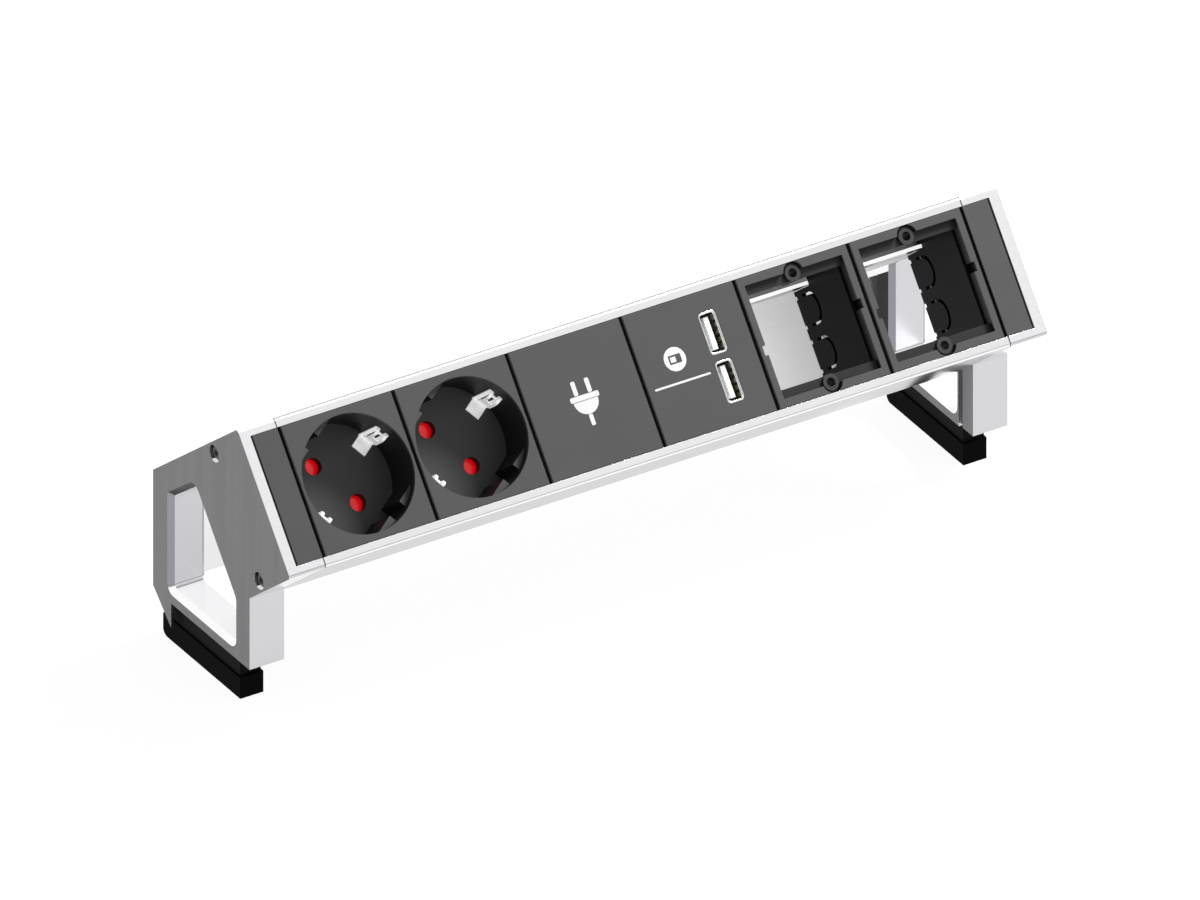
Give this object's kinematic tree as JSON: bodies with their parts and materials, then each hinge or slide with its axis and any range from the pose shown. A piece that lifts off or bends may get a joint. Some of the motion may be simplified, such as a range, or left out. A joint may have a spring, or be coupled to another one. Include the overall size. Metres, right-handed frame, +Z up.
{
  "type": "desk power strip",
  "caption": "Tilted aluminium desk power strip on two windowed legs, with round earthed sockets, a USB charger, a blank cover and empty data frames.",
  "frame": {"origin": "centre of the bounding box's bottom face, on the desk surface midway between the feet", "axes": "+X along the strip to the right as seen from the front, -Y towards the user, +Z up"},
  "size_m": [0.288, 0.084, 0.1035],
  "materials": {
    "base_plastic": "smooth moulded",
    "board": "solder mask",
    "cap_aluminium": "brushed and anodised",
    "case_plastic": "smooth moulded",
    "clip_steel": "nickel plated",
    "component_plastic": "moulded",
    "contact_brass": "plain",
    "contact_gold": "gold plated",
    "foot_plastic": "smooth moulded",
    "foot_rubber": "satin rubber",
    "frame_plastic": "finely textured",
    "inlet_plastic": "smooth moulded",
    "module_plastic": "finely textured",
    "panel_plastic": "finely textured",
    "port_steel": "nickel plated",
    "profile_aluminium": "fine anodised extrusion",
    "screw_steel": "zinc plated",
    "shutter_plastic": "glossy",
    "spacer_plastic": "smooth moulded",
    "spring_steel": "drawn wire",
    "tongue_plastic": "smooth moulded",
    "wall_plastic": "smooth moulded",
    "wire_blue": "insulation",
    "wire_brown": "insulation",
    "wire_green_yellow": "insulation"
  },
  "bodies": {
    "strip": {"blank_cover": "module_plastic", "custom_1_frame": "frame_plastic", "custom_1_wall_left": "wall_plastic", "custom_1_wall_right": "wall_plastic", "custom_2_frame": "frame_plastic", "custom_2_wall_left": "wall_plastic", "custom_2_wall_right": "wall_plastic", "earth_bond_screw": "screw_steel", "earth_wires": "wire_green_yellow", "end_cap_left": "cap_aluminium", "end_cap_right": "cap_aluminium", "end_cap_screws": "screw_steel", "end_panel_left": "panel_plastic", "end_panel_right": "panel_plastic", "foot_pad_left": "foot_rubber", "foot_pad_right": "foot_rubber", "foot_rail_left": "foot_plastic", "foot_rail_right": "foot_plastic", "foot_screws": "screw_steel", "housing_profile": "profile_aluminium", "line_wires": "wire_brown", "mains_inlet_body": "inlet_plastic", "mains_inlet_pins": "contact_brass", "mains_inlet_screws": "screw_steel", "module_spacer_1": "spacer_plastic", "module_spacer_2": "spacer_plastic", "module_spacer_3": "spacer_plastic", "module_spacer_4": "spacer_plastic", "module_spacer_5": "spacer_plastic", "module_spacer_6": "spacer_plastic", "module_spacer_7": "spacer_plastic", "neutral_wires": "wire_blue", "socket_1_base_screws": "screw_steel", "socket_1_contact_base": "base_plastic", "socket_1_earth_clip": "clip_steel", "socket_1_faceplate": "module_plastic", "socket_1_line_contact": "contact_brass", "socket_1_neutral_contact": "contact_brass", "socket_1_shutter_spring": "spring_steel", "socket_1_terminal_screws": "screw_steel", "socket_2_base_screws": "screw_steel", "socket_2_contact_base": "base_plastic", "socket_2_earth_clip": "clip_steel", "socket_2_faceplate": "module_plastic", "socket_2_line_contact": "contact_brass", "socket_2_neutral_contact": "contact_brass", "socket_2_shutter_spring": "spring_steel", "socket_2_terminal_screws": "screw_steel", "usb_board": "board", "usb_case": "case_plastic", "usb_components": "component_plastic", "usb_contacts": "contact_gold", "usb_cover": "module_plastic", "usb_port_lower": "port_steel", "usb_port_upper": "port_steel", "usb_tongue_lower": "tongue_plastic", "usb_tongue_upper": "tongue_plastic"},
    "shutter_1": {"socket_1_shutter": "shutter_plastic"},
    "shutter_2": {"socket_2_shutter": "shutter_plastic"}
  },
  "joints": [
    {"name": "socket_1_shutter_turn", "type": "hinge", "parent": "strip", "child": "shutter_1", "pos_m": [-0.108, -0.00905, 0.07005], "axis": [0, -0.7743, 0.6328], "range_deg": [0, 38], "stiffness_Nm_per_rad": 0.0006, "springref_deg": -20.05},
    {"name": "socket_2_shutter_turn", "type": "hinge", "parent": "strip", "child": "shutter_2", "pos_m": [-0.0648, -0.00905, 0.07005], "axis": [0, -0.7743, 0.6328], "range_deg": [0, 38], "stiffness_Nm_per_rad": 0.0006, "springref_deg": -20.05}
  ]
}
